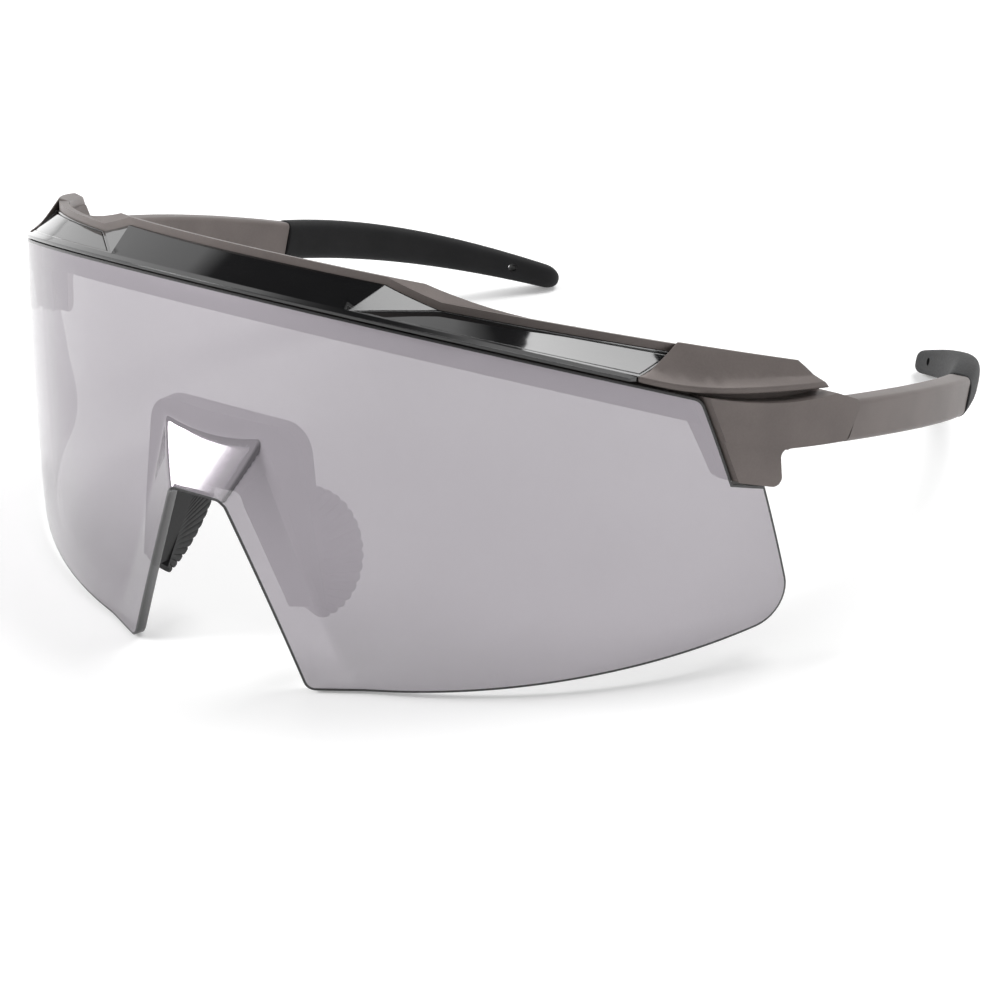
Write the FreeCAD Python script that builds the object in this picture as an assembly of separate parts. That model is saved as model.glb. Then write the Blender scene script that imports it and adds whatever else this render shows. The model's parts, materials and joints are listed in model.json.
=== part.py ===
import FreeCAD, Part
import math
import os

# Shield sunglasses: one wrapped mirror lens under a brow bar, with two folding temples.
# Lengths are millimetres and angles are degrees.
# The brow frame has x to the wearer's left, y to the back and z up, with the brow level
# and its origin at the middle of the lens's top edge. The lens frame is the same frame
# before the lens is leaned, with z along the axis of the lens's curve.

# Overrun of every cutting body
overrun = 6.0

# Points on each eased corner of a loft
corner_points = 4

# Search for the resting stance
stance_limit = 45.0
stance_rounds = 40
stance_step = 0.1

# Lens
lens_plan_radius = 74.6
lens_upright_radius = 520.0
lens_fullest_height = 48.0
lens_bands = 6
lens_height = 57.8
lens_wall = 2.0
lens_lean = 16.4
lens_spare_angle = 3.6
lens_gap = 0.15
lens_top_fall_share = 0.073
lens_bottom_rise_share = 0.55
lens_bottom_drop = 57.4
lens_bottom_back = 16.7
lens_shoulder_back = 35.3
lens_shoulder_round = 2.4
lens_step_back = 44.0
lens_step_drop = 14.3
lens_side_back = 49.2
lens_side_drop = 14.05
lens_corner_back = 62.2
lens_corner_round = 5.5
lens_foot_round = 1.8

# Nose notch and the moulded ridge round it, in the lens frame
notch_top_height = 27.3
notch_top_half = 4.7
notch_foot_height = 0.6
notch_foot_half = 15.4
notch_round = 1.6
ridge_top_height = 35.2
ridge_top_half = 8.2
ridge_flare_share = 0.405
ridge_crease_back = 0.2
ridge_crease_share = 0.155
ridge_round = 2.6
ridge_rim = 0.8
ridge_front = 3.7
ridge_slope_share = 0.2
ridge_wall = 2.4
ridge_stretch_share = 0.4
hollow_stretch_share = 0.8

# Brow bar, measured inward from the lens face and up from its top edge
brow_half_angle = 57.5
brow_sections = 9
brow_depth = 8.0
brow_end_depth = 4.2
brow_end_angle = 70.0
brow_level = 3.25
brow_centre_level = 5.35
brow_floor_level = 0.4
strip_width = 1.5
strip_rise = 1.1
seat_gap = 0.4
lip_proud = 0.3
lip_height = 0.85
lip_depth = 0.8
lip_rise = 0.3
flange_wall = 1.5
flange_drop = 4.2
facet_front_angle = 16.8
facet_high_angle = 19.8
facet_low_angle = 26.5

# Gloss trim and its two let-in panels
trim_wall = 1.3
trim_gap = 0.12
panel_front = 1.2
panel_back = 0.35
panel_wall = 0.8
panel_recess = 0.1
panel_gap = 0.12

# End covers
cover_front_angle = 48.2
cover_front_depth = 5.5
cover_front_inner_angle = 55.8
cover_first_angle = 40.0
cover_spare_angle = 5.4
cover_sections = 7
cover_inset = 0.4
cover_lip = 0.9
cover_shoulder = 1.3
cover_shoulder_rise = 0.9
cover_crown = 0.45
cover_wall = 1.5
cover_toe = 1.4
cover_edge_back = 37.4
cover_edge_level = -1.7
cover_edge_climb_share = 0.17
cover_tail_back = 51.8
cover_tail_end_back = 56.2
cover_tail_end_level = 1.2
cover_gap = 0.1

# End pieces
end_proud = 0.7
end_wall = 4.2
end_skin = 2.9
end_gap = 0.5
end_wall_setback = 1.9
end_first_angle = 54.0
end_spare_angle = 2.2
end_top_level = 0.9
end_front_level = -2.2
end_bottom_drop = 6.0
end_scoop = 0.9
end_round = 1.4
tab_drop = 13.9
tab_back = 51.4
tab_top_back = 49.0
tab_top_drop = 8.2
tab_round = 1.2
tab_step = 0.3

# Hinges
hinge_inset = 3.65
hinge_back = 60.6
hinge_top = 0.1
hinge_ear = 1.5
hinge_tongue = 2.8
hinge_play = 0.1
hinge_barrel = 1.9
hinge_room = 0.25
hinge_web = 4.5
seam_back = 61.4
seam_lean_share = 0.22
seam_gap = 0.25
screw_radius = 0.7
screw_head_radius = 1.25
screw_head = 0.6
screw_slot = 0.35
screw_slot_depth = 0.3
screw_play = 0.05

# Temples: one plan arc carries the arm and the rubber tip
temple_radius = 123.0
temple_start_lean = 6.0
temple_wall = 4.0
temple_skin = 3.7
temple_edge_round = 0.9
temple_height = 6.3
arm_back = 110.0
tip_back = 159.8
tip_wall = 4.7
tip_height = 6.9
tip_end_height = 4.0
tip_round = 2.1
tip_edge_round = 1.2
tip_crown = 0.2
tip_joint = 0.1
tip_bow = 2.25
tip_fall = 0.9
tip_sections = 11
tip_end_shares = (0.35, 0.65, 0.85, 0.95)
arm_arch = 3.4
arm_bow = 0.55
arm_sections = 12
core_wall = 1.8
core_height = 3.6
core_length = 30.0
core_round = 0.3
core_sections = 7
core_gap = 0.1
cord_hole_radius = 0.8
cord_hole_inset = 7.5

# Nose carrier and pads, in the lens frame
carrier_gap = 0.15
carrier_back = 6.0
carrier_rim = 1.0
carrier_top_height = 38.2
carrier_top_half = 13.4
carrier_foot_height = 11.2
carrier_foot_half = 17.0
carrier_round = 4.5
pad_width = 10.6
pad_wall = 2.0
pad_stem = 2.4
pad_scallops = 9
pad_scallop_radius = 1.15
pad_scallop_sides = 12
pad_rib_depth = 0.45
pad_rib_width = 0.5
pad_top_half = 8.4
pad_top_height = 26.5
pad_foot_half = 14.6
pad_foot_height = 8.6
pad_back = 7.2
pad_splay = 14.0
pad_hub = 1.5

Vector = FreeCAD.Vector
origin = Vector(0, 0, 0)
x_axis = Vector(1, 0, 0)
y_axis = Vector(0, 1, 0)
z_axis = Vector(0, 0, 1)
lean_cos = math.cos(math.radians(lens_lean))
lean_sin = math.sin(math.radians(lens_lean))
strip_level = brow_level + strip_rise * lean_cos
notch_flare_share = (notch_foot_half - notch_top_half) / (notch_top_height - notch_foot_height)
hinge_half = math.sqrt(lens_plan_radius ** 2 - (lens_plan_radius - hinge_back) ** 2) - hinge_inset


# Points and outlines

def ring_point(angle, depth, height):
    """Point of the lens frame at an angle round the lens, a depth inside its face and a height."""
    turn = math.radians(angle)
    radius = lens_plan_radius - depth
    return Vector(radius * math.sin(turn), lens_plan_radius - radius * math.cos(turn), height)


def to_brow(shape):
    """Moves a shape from the lens frame to the brow frame."""
    moved = shape.copy()
    moved.translate(Vector(0, 0, -lens_height))
    moved.rotate(origin, x_axis, lens_lean)
    return moved


def level_height(back, level):
    """Height in the lens frame of a level of the brow frame, at a distance to the back."""
    return lens_height + (level - back * lean_sin) / lean_cos


def top_edge_height(angle):
    """Height of the lens's top edge in the lens frame."""
    back = ring_point(angle, 0, 0).y
    fall = math.tan(math.radians(lens_lean) + math.atan(lens_top_fall_share))
    return lens_height - back * fall


def angle_at(back):
    """Angle round the lens of a distance to the back."""
    return math.degrees(math.acos(1 - back / lens_plan_radius))


def rounded_wire(points, radii):
    """Closed wire through points, with each corner rounded by its radius."""
    count = len(points)
    arcs = []
    starts = []
    ends = []
    for index, point in enumerate(points):
        before = (points[index - 1] - point).normalize()
        after = (points[(index + 1) % count] - point).normalize()
        half = before.getAngle(after) / 2
        radius = radii[index]
        start = point + before * (radius / math.tan(half))
        end = point + after * (radius / math.tan(half))
        middle = (before + after).normalize()
        crest = point + middle * (radius / math.sin(half) - radius)
        starts.append(start)
        ends.append(end)
        arcs.append([Part.Arc(start, crest, end).toShape()] if radius > 0 else [])
    edges = []
    for index in range(count):
        edges.extend(arcs[index])
        edges.append(Part.makeLine(ends[index], starts[(index + 1) % count]))
    return Part.Wire(edges)


def eased_loop(points, radius):
    """Closed polyline through points, with each corner eased by a few flats."""
    loop = []
    count = len(points)
    for index, point in enumerate(points):
        before = (points[index - 1] - point).normalize()
        after = (points[(index + 1) % count] - point).normalize()
        for turn in spread(0, math.pi / 2, corner_points):
            start = before * (radius * (1 - math.sin(turn)))
            loop.append(point + start + after * (radius * (1 - math.cos(turn))))
    return Part.makePolygon(loop + loop[:1])


def side_prism(places, radii, half_width):
    """Body cut from the side: an outline of (back, up) places, extruded across the glasses."""
    points = [Vector(-half_width, back, up) for back, up in places]
    face = Part.Face(rounded_wire(points, radii))
    return face.extrude(Vector(2 * half_width, 0, 0))


def front_prism(places, radii, front, back):
    """Body cut from the front: an outline of (across, up) places, extruded to the back."""
    points = [Vector(across, front, up) for across, up in places]
    face = Part.Face(rounded_wire(points, radii))
    return face.extrude(Vector(0, back - front, 0))


def ring_body(shallow, deep, first, last, low, high):
    """Band round the lens axis between two depths, two angles and two heights."""
    outer = lens_plan_radius - shallow
    inner = lens_plan_radius - deep
    corners = [(inner, low), (outer, low), (outer, high), (inner, high)]
    points = [Vector(0, -radius, height) for radius, height in corners]
    face = Part.Face(Part.makePolygon(points + points[:1]))
    face.rotate(origin, z_axis, first)
    body = face.revolve(origin, z_axis, last - first)
    body.translate(Vector(0, lens_plan_radius, 0))
    return body


def ring_loft(section, angles):
    """Body through radial sections, each a list of (depth, height) places."""
    wires = []
    for angle in angles:
        points = [ring_point(angle, depth, height) for depth, height in section(angle)]
        wires.append(Part.makePolygon(points + points[:1]))
    return Part.makeLoft(wires, True, False)


def spread(first, last, count):
    """Evenly spaced values from first to last."""
    return [first + (last - first) * index / (count - 1) for index in range(count)]


def beyond_plane(first, second, third, reach):
    """Block on the side of a plane that its normal points to."""
    along = (second - first).normalize()
    normal = along.cross(third - first).normalize()
    across = normal.cross(along)
    corners = [first + along * (reach * a) + across * (reach * b)
               for a, b in ((-1, -1), (1, -1), (1, 1), (-1, 1))]
    face = Part.Face(Part.makePolygon(corners + corners[:1]))
    return face.extrude(normal * reach)


def mirrored(shape):
    """The same piece on the other side of the face."""
    return shape.mirror(origin, x_axis)


# Lens

def lens_band(shallow, deep):
    """Barrel-curved band of the shield between two depths."""
    heights = spread(-overrun, lens_height + overrun, lens_bands)

    def edge(depth):
        places = []
        for height in heights:
            lift = height - lens_fullest_height
            sag = lens_upright_radius - math.sqrt(lens_upright_radius ** 2 - lift ** 2)
            places.append(Vector(0, -(lens_plan_radius - depth - sag), height))
        return places

    loop = edge(shallow) + edge(deep)[::-1]
    profile = Part.Face(Part.makePolygon(loop + loop[:1]))
    sweep = angle_at(lens_corner_back) + lens_spare_angle
    profile.rotate(origin, z_axis, -sweep)
    band = profile.revolve(origin, z_axis, 2 * sweep)
    band.translate(Vector(0, lens_plan_radius, 0))
    return band


def flared_outline(top_half, top, flare_share):
    """Front outline that widens from its top down past the foot of the shield."""
    foot = -2 * overrun
    foot_half = top_half + flare_share * (top - foot)
    return [(-foot_half, foot), (foot_half, foot), (top_half, top), (-top_half, top)]


def ridge_body(setback, stretch_share):
    """Hipped ridge over the nose, set back, and stretched past its crease by a share of its depth."""
    land_top = notch_top_height + ridge_rim
    land = flared_outline(notch_top_half + ridge_rim, land_top, notch_flare_share)
    crease = flared_outline(ridge_top_half, ridge_top_height, ridge_flare_share)
    base_points = []
    land_points = []
    for (land_across, land_up), (crease_across, crease_up) in zip(land, crease):
        front = setback - ridge_front + ridge_slope_share * (land_top - land_up)
        back = setback + ridge_crease_back + ridge_crease_share * (ridge_top_height - crease_up)
        land_point = Vector(land_across, front, land_up)
        crease_point = Vector(crease_across, back, crease_up)
        land_points.append(land_point)
        base_points.append(crease_point + (crease_point - land_point) * stretch_share)
    wires = [eased_loop(base_points, ridge_round), eased_loop(land_points, notch_round + ridge_rim)]
    return Part.makeLoft(wires, True, True)


def notch_body(rim):
    """Opening for the nose, wider at the foot, grown by a rim."""
    places = flared_outline(notch_top_half + rim, notch_top_height + rim, notch_flare_share)
    return front_prism(places, [0, 0, notch_round, notch_round], -4 * overrun, 4 * overrun)


def lens_outline():
    """Side outline of the shield in the brow frame, with a step round each end tab."""
    front = -overrun
    bottom_front = -lens_bottom_drop - lens_bottom_rise_share * (lens_bottom_back - front)
    corner_rise = lens_bottom_rise_share * (lens_corner_back - lens_bottom_back)
    places = [(front, -lens_top_fall_share * front),
              (lens_shoulder_back, -lens_top_fall_share * lens_shoulder_back),
              (lens_step_back, -lens_step_drop),
              (lens_side_back, -lens_side_drop),
              (lens_corner_back, -lens_bottom_drop + corner_rise),
              (front, bottom_front)]
    radii = [0, lens_shoulder_round, 0, 0, lens_corner_round, 0]
    return side_prism(places, radii, lens_plan_radius + overrun)


def lens_piece():
    shield = lens_band(0, lens_wall + overrun)
    inner = lens_band(lens_wall, lens_wall + 2 * overrun)
    shield = shield.fuse(ridge_body(0, ridge_stretch_share))
    shield = shield.cut(inner.fuse(ridge_body(ridge_wall, hollow_stretch_share)))
    shield = shield.cut(notch_body(0))
    shield = to_brow(shield).common(lens_outline())
    feet = []
    for edge in shield.Edges:
        middle = edge.CenterOfMass
        along = edge.Vertexes[-1].Point - edge.Vertexes[0].Point
        if edge.Length < 3 * lens_wall and middle.z < -lens_bottom_drop + overrun:
            if abs(along.y) > max(abs(along.x), abs(along.z)):
                feet.append(edge)
    return shield.makeFillet(lens_foot_round, feet)


# Brow bar and its gloss trim

def bar_depth(angle):
    """Depth of the brow bar, which thins towards its ends."""
    share = (abs(angle) / brow_end_angle) ** 3
    return brow_depth - (brow_depth - brow_end_depth) * share


def bar_section(level):
    def section(angle):
        edge = top_edge_height(angle)
        depth = bar_depth(angle)
        strip = level_height(ring_point(angle, depth - strip_width, 0).y, level)
        back = level_height(ring_point(angle, depth, 0).y, level)
        floor = level_height(ring_point(angle, depth, 0).y, brow_floor_level)
        flange_front = lens_wall + lens_gap
        flange_back = flange_front + flange_wall
        return [(-lip_proud, edge + seat_gap),
                (-lip_proud, edge + lip_height),
                (lip_depth, edge + lip_height + lip_rise),
                (depth - strip_width, strip),
                (depth, back),
                (depth, floor),
                (flange_back, edge - flange_wall),
                (flange_back, edge - flange_drop),
                (flange_front, edge - flange_drop),
                (flange_front, edge + seat_gap)]
    return section


def facet_cutter():
    """Everything above the facet at the left end of the raised centre."""
    low_depth = bar_depth(facet_low_angle) - strip_width
    high_depth = bar_depth(facet_high_angle) - strip_width
    lip_top = top_edge_height(facet_front_angle) + lip_height + lip_rise
    front = ring_point(facet_front_angle, lip_depth, lip_top)
    high = ring_point(facet_high_angle, high_depth, 0)
    high.z = level_height(high.y, brow_centre_level)
    low = ring_point(facet_low_angle, low_depth, 0)
    low.z = level_height(low.y, brow_level)
    return beyond_plane(front, low, high, 3 * lens_plan_radius)


def above_bar_section(angle):
    """Radial section of the room above the level bar, behind its lip."""
    edge = top_edge_height(angle)
    depth = bar_depth(angle)
    clear = level_height(0, brow_centre_level) + overrun
    strip = level_height(ring_point(angle, depth - strip_width, 0).y, brow_level)
    back = level_height(ring_point(angle, depth + overrun, 0).y, brow_level)
    return [(lip_depth, edge + lip_height + lip_rise),
            (depth - strip_width, strip),
            (depth + overrun, back),
            (depth + overrun, clear),
            (lip_depth, clear)]


def bar_envelope():
    """Outer form of the brow bar: a level bar with a raised, faceted centre."""
    angles = spread(-brow_half_angle, brow_half_angle, brow_sections)
    bar = ring_loft(bar_section(brow_centre_level), angles)
    above = ring_loft(above_bar_section, angles)
    for room in (above.common(facet_cutter()), above.common(facet_foot_block(2 * strip_width))):
        bar = bar.cut(room).cut(mirrored(room))
    return bar


def lowered(shape, drop):
    """Copy of a shape moved down the lens axis."""
    moved = shape.copy()
    moved.translate(Vector(0, 0, -drop))
    return moved


def outward_block(first, second, gap):
    """Upright block on the right of the plan line through two points, a gap away from it."""
    reach = 2 * lens_plan_radius
    along = Vector(second.x - first.x, second.y - first.y, 0).normalize()
    right = Vector(along.y, -along.x, 0)
    start = Vector(first.x, first.y, -reach) + right * gap - along * reach
    corners = [start, start + along * (2 * reach), start + along * (2 * reach) + right * reach,
               start + right * reach]
    face = Part.Face(Part.makePolygon(corners + corners[:1]))
    return face.extrude(Vector(0, 0, 2 * reach))


def cover_front_block(gap):
    """Everything outward of the left cover's front edge."""
    front = ring_point(cover_front_angle, 0, 0)
    back = ring_point(cover_front_inner_angle, cover_front_depth, 0)
    return outward_block(front, back, gap)


def facet_foot_block(gap):
    """Everything outward of the foot of the left facet."""
    front = ring_point(facet_front_angle, lip_depth, 0)
    back = ring_point(facet_low_angle, bar_depth(facet_low_angle) - strip_width, 0)
    return outward_block(front, back, gap)


def strip_room(gap):
    """Room of the matte strip, behind the gloss trim."""
    def section(angle):
        depth = bar_depth(angle) - strip_width - gap
        low = top_edge_height(angle) - flange_drop
        high = level_height(0, brow_centre_level) + overrun
        back = depth + 2 * overrun
        return [(depth, low), (back, low), (back, high), (depth, high)]
    return ring_loft(section, spread(-brow_half_angle, brow_half_angle, brow_sections))


def panel_body(margin, sink, rise):
    """Let-in panel of the left side, drawn in by a margin, sunk, and standing up by a rise."""
    def section(angle):
        front = lip_depth
        front_height = top_edge_height(angle) + lip_height + lip_rise
        back = bar_depth(angle) - strip_width
        back_height = level_height(ring_point(angle, back, 0).y, brow_level)
        climb = (back_height - front_height) / (back - front)
        places = []
        for place in (panel_front + margin, back - panel_back - margin):
            places.append((place, front_height + climb * (place - front)))
        first, last = places
        return [(first[0], first[1] - panel_wall), (first[0], first[1] - sink + rise),
                (last[0], last[1] - sink + rise), (last[0], last[1] - panel_wall)]
    body = ring_loft(section, spread(facet_front_angle, brow_half_angle, brow_sections))
    body = body.common(facet_foot_block(margin + panel_back))
    return body.cut(cover_front_block(-margin - panel_back))


# End covers and end pieces, made for the wearer's left and mirrored

def cover_edge_height(angle):
    """Lower edge of the end cover: along the lens, then climbing over the end piece."""
    back = ring_point(angle, cover_inset, 0).y
    climb = cover_edge_climb_share
    level = cover_edge_level + climb * (back / lean_cos - cover_edge_back)
    level = level / (1 + climb * lean_sin / lean_cos)
    return max(top_edge_height(angle) + seat_gap, level_height(back, level))


def seat_height(angle, depth):
    """Height of the sloping seat on which the cover sits."""
    low = cover_edge_height(angle)
    heel = bar_depth(angle)
    high = level_height(ring_point(angle, heel, 0).y, strip_level) - cover_wall
    return low + (high - low) * (depth - cover_toe) / (heel - cover_toe)


def cover_section(angle):
    low = cover_edge_height(angle)
    strip = bar_depth(angle) - strip_width
    heel = bar_depth(angle) + cover_gap
    crown = level_height(ring_point(angle, strip, 0).y, strip_level) + cover_crown
    back = level_height(ring_point(angle, heel, 0).y, strip_level)
    return [(cover_inset, low),
            (cover_inset, low + cover_lip),
            (cover_inset + cover_shoulder, low + cover_lip + cover_shoulder_rise),
            (strip, crown),
            (heel, back),
            (heel, seat_height(angle, heel)),
            (cover_toe, low)]


def cover_room_section(angle):
    """Radial section of the room above the cover's seat."""
    low = cover_edge_height(angle) - seat_gap / 2
    heel = bar_depth(angle) + overrun
    high = level_height(0, strip_level) + overrun
    return [(-overrun, low), (-overrun, high), (heel, high),
            (heel, seat_height(angle, heel)), (cover_toe, seat_height(angle, cover_toe)),
            (cover_toe, low)]


def cover_tail_block():
    """Room behind the sloping tail of the left cover."""
    high = Vector(0, cover_tail_back, strip_level)
    low = Vector(0, cover_tail_end_back, cover_tail_end_level)
    return beyond_plane(high, high + x_axis, low, 2 * lens_plan_radius)


def cover_body(section):
    last = angle_at(cover_tail_end_back) + cover_spare_angle
    body = ring_loft(section, spread(cover_first_angle, last, cover_sections))
    body = body.common(cover_front_block(0))
    return to_brow(body).cut(cover_tail_block())


def seam_place(level):
    """Distance to the back of the hinge seam at a level."""
    return seam_back + seam_lean_share * (level + temple_height / 2)


def lens_side_place(level):
    """Distance to the back of the slanting side edge of the lens at a level."""
    top = -lens_top_fall_share * lens_shoulder_back
    share = (level - top) / (-lens_step_drop - top)
    return lens_shoulder_back + share * (lens_step_back - lens_shoulder_back)


def end_outline(front_gap, top_places, front_round):
    """Side outline of an end piece with its tab, from a gap behind the lens's side edge."""
    places = top_places + [(cover_tail_end_back, end_top_level),
                           (seam_place(hinge_top), hinge_top),
                           (seam_place(-end_bottom_drop), -end_bottom_drop),
                           (tab_top_back, -tab_top_drop),
                           (tab_back, -tab_drop),
                           (lens_side_place(-tab_drop) + front_gap, -tab_drop)]
    radii = [0] * len(top_places) + [0, end_round, 0, tab_round, tab_round, front_round]
    return side_prism(places, radii, lens_plan_radius + overrun)


def scoop_body():
    """Crescent scoop of an end piece, under the cover's lower edge."""
    start = Vector(0, lens_side_place(end_front_level) + end_gap, end_front_level)
    end = Vector(0, cover_tail_end_back, end_top_level)
    along = (end - start).normalize()
    dip = (start + end) / 2 + Vector(0, along.z, -along.y) * end_scoop
    lid = Vector(0, 0, overrun)
    edges = [Part.Arc(start, dip, end).toShape(), Part.makeLine(end, end + lid),
             Part.makeLine(end + lid, start + lid), Part.makeLine(start + lid, start)]
    face = Part.Face(Part.Wire(edges))
    return face.extrude(Vector(lens_plan_radius + overrun, 0, 0))


def end_wall_section(angle):
    front = lens_wall + 2 * lens_gap
    share = max(0, (brow_end_angle - angle) / (brow_end_angle - end_first_angle))
    back = end_wall + (bar_depth(angle) - lens_gap - end_wall) * share
    low = level_height(ring_point(angle, front, 0).y, -tab_drop - overrun)
    spare = cover_wall / 2
    return [(front, low), (front, seat_height(angle, front) + spare),
            (back, seat_height(angle, back) + spare), (back, low)]


def end_piece():
    high = 2 * lens_height
    last = angle_at(seam_back) + end_spare_angle
    crest = strip_level + overrun
    tail_fall = (cover_tail_end_back - cover_tail_back) / (strip_level - end_top_level)
    skin_top = [(lens_side_place(end_front_level) + end_gap, end_front_level)]
    wall_top = [(lens_side_place(crest) + end_wall_setback, crest),
                (cover_tail_back - tail_fall * overrun, crest)]
    skin = ring_body(-end_proud, end_skin, end_first_angle, last, 0, high)
    skin = to_brow(skin).common(end_outline(end_gap, skin_top, tab_round / 2))
    skin = skin.cut(scoop_body())
    step = ring_body(-end_proud - overrun, -end_proud + tab_step, end_first_angle, last, 0, high)
    below = Part.makeBox(2 * lens_plan_radius, 2 * lens_plan_radius, lens_height,
                         Vector(0, 0, -tab_top_drop - lens_height))
    skin = skin.cut(to_brow(step).common(below))
    wall = ring_loft(end_wall_section, spread(end_first_angle, last, cover_sections))
    wall = wall.common(cover_front_block(0))
    wall = to_brow(wall).common(end_outline(end_wall_setback, wall_top, tab_round))
    return skin.fuse(wall)


# Hinges

def hinge_levels():
    """Low and high levels of the upper ear, the tongue and the lower ear."""
    upper = (hinge_top - hinge_ear, hinge_top)
    tongue = (upper[0] - hinge_play - hinge_tongue, upper[0] - hinge_play)
    lower = (tongue[0] - hinge_play - hinge_ear, tongue[0] - hinge_play)
    return upper, tongue, lower


def drum(radius, low, high):
    """Upright cylinder on the left hinge axis."""
    return Part.makeCylinder(radius, high - low, Vector(hinge_half, hinge_back, low))


def plan_prism(places, low, high):
    """Upright body over an outline of (across, back) places."""
    points = [Vector(across, back, low) for across, back in places]
    face = Part.Face(Part.makePolygon(points + points[:1]))
    return face.extrude(Vector(0, 0, high - low))


def hinged_end(end):
    """End piece with two hinge ears, a slot for the temple's tongue and a screw hole."""
    upper, tongue, lower = hinge_levels()
    clear = hinge_barrel + hinge_room
    outer = hinge_half + clear
    behind = [(0, hinge_back), (outer, hinge_back), (outer, hinge_back + 2 * hinge_web),
              (0, hinge_back + 2 * hinge_web)]
    end = end.cut(plan_prism(behind, lower[0] - overrun, upper[1] + overrun))
    web = [(hinge_half - hinge_barrel, hinge_back), (hinge_half + hinge_barrel, hinge_back),
           (hinge_half + hinge_barrel, hinge_back - hinge_web)]
    for low, high in (upper, lower):
        end = end.fuse(drum(hinge_barrel, low, high).fuse(plan_prism(web, low, high)))
    slot_low = tongue[0] - hinge_play
    slot_high = tongue[1] + hinge_play
    slot = [(0, hinge_back - clear), (outer, hinge_back - clear), (outer, hinge_back + hinge_web),
            (0, hinge_back + hinge_web)]
    end = end.cut(plan_prism(slot, slot_low, slot_high))
    end = end.cut(drum(screw_radius + screw_play, lower[0] - overrun, upper[1] + overrun))
    return end.cut(drum(screw_head_radius + screw_play, upper[1] - screw_head, upper[1] + overrun))


def screw_piece():
    upper, _, lower = hinge_levels()
    body = drum(screw_radius, lower[0], upper[1])
    body = body.fuse(drum(screw_head_radius, upper[1] - screw_head, upper[1]))
    slot = Part.makeBox(4 * screw_head_radius, screw_slot, screw_slot_depth + overrun,
                        Vector(hinge_half - 2 * screw_head_radius, hinge_back - screw_slot / 2,
                               upper[1] - screw_slot_depth))
    return body.cut(slot)


# Temples

def temple_middle():
    """Centre of the temple's plan arc."""
    lean = math.radians(temple_start_lean)
    start_half = hinge_half + temple_skin
    return Vector(start_half - temple_radius * math.cos(lean),
                  seam_back + temple_radius * math.sin(lean), 0)


def temple_place(back, inset, level):
    """Point of the temple at a distance to the back, an inset from its outer face and a level."""
    middle = temple_middle()
    turn = math.asin((back - middle.y) / temple_radius)
    radius = temple_radius - inset
    return middle + Vector(radius * math.cos(turn), radius * math.sin(turn), level)


def temple_loft(stations):
    """Body through sections of (back, wall, height, middle level, edge round)."""
    wires = []
    for back, wall, height, level, edge_round in stations:
        corners = [(-1, -1), (1, -1), (1, 1), (-1, 1)]
        points = [temple_place(back, (temple_wall + across * wall) / 2, level + up * height / 2)
                  for across, up in corners]
        wires.append(eased_loop(points, edge_round))
    return Part.makeLoft(wires, True, True)


def arm_top(back):
    share = (back - seam_back) / (arm_back - seam_back)
    return hinge_top + (arm_arch - hinge_top) * share + 4 * arm_bow * share * (1 - share)


def tip_top(back):
    share = (back - arm_back) / (tip_back - arm_back)
    return arm_arch + tip_crown - tip_fall * share + 4 * tip_bow * share * (1 - share)


def tip_tall(back):
    share = (back - arm_back) / (tip_back - arm_back)
    return tip_height - (tip_height - tip_end_height) * share ** 2


def core_body(gap):
    """Tongue of the arm inside the rubber tip, or its room."""
    stations = []
    for back in spread(arm_back - overrun, arm_back + core_length + gap, core_sections):
        level = tip_top(back) - tip_tall(back) / 2
        stations.append((back, core_wall + 2 * gap, core_height + 2 * gap, level, core_round))
    return temple_loft(stations)


def arm_piece():
    _, tongue, _ = hinge_levels()
    stations = []
    for back in spread(seam_back - overrun, arm_back, arm_sections):
        level = arm_top(back) - temple_height / 2
        stations.append((back, temple_wall, temple_height, level, temple_edge_round))
    arm = temple_loft(stations)
    high = hinge_top + overrun
    low = -end_bottom_drop - overrun
    ahead = [(seam_back - 3 * overrun, high), (seam_place(high) + seam_gap, high),
             (seam_place(low) + seam_gap, low), (seam_back - 3 * overrun, low)]
    arm = arm.cut(side_prism(ahead, [0] * len(ahead), 2 * lens_plan_radius))
    arm = arm.cut(drum(hinge_barrel + hinge_room, low, high))
    web = [(hinge_half - hinge_barrel, hinge_back), (hinge_half + hinge_barrel, hinge_back),
           (hinge_half + hinge_barrel, hinge_back + 2 * hinge_web)]
    barrel = drum(hinge_barrel, tongue[0], tongue[1])
    arm = arm.fuse(barrel.fuse(plan_prism(web, tongue[0], tongue[1])))
    arm = arm.fuse(core_body(0))
    return arm.cut(drum(screw_radius + screw_play, low, high))


def tip_station(back, scale):
    level = tip_top(back) - tip_tall(back) / 2
    return back, tip_wall * scale, tip_tall(back) * scale, level, tip_edge_round * scale


def tip_piece():
    places = spread(arm_back + tip_joint, tip_back - tip_round, tip_sections)
    length = [tip_station(back, 1) for back in places]
    nose = [length[-1]]
    for share in tip_end_shares:
        nose.append(tip_station(tip_back - tip_round * (1 - share), math.sqrt(1 - share ** 2)))
    tip = temple_loft(length).fuse(temple_loft(nose)).cut(core_body(core_gap))
    hole_back = tip_back - cord_hole_inset
    level = tip_top(hole_back) - tip_tall(hole_back) / 2
    outer = temple_place(hole_back, -overrun, level)
    inner = temple_place(hole_back, temple_wall + overrun, level)
    hole = Part.makeCylinder(cord_hole_radius, outer.distanceToPoint(inner), outer, inner - outer)
    return tip.cut(hole)


# Nose carrier and pads

def behind_lens(gap):
    """Room behind the shield and inside its ridge, a gap away from it."""
    band = lens_band(lens_wall + gap, lens_wall + gap + 3 * overrun)
    return band.fuse(ridge_body(ridge_wall + gap, hollow_stretch_share))


def carrier_piece():
    outline = [(-carrier_foot_half, carrier_foot_height), (carrier_foot_half, carrier_foot_height),
               (carrier_top_half, carrier_top_height), (-carrier_top_half, carrier_top_height)]
    block = front_prism(outline, [0, 0, carrier_round, carrier_round], -2 * overrun, carrier_back)
    block = block.common(behind_lens(carrier_gap))
    return block.cut(notch_body(carrier_rim))


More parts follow.
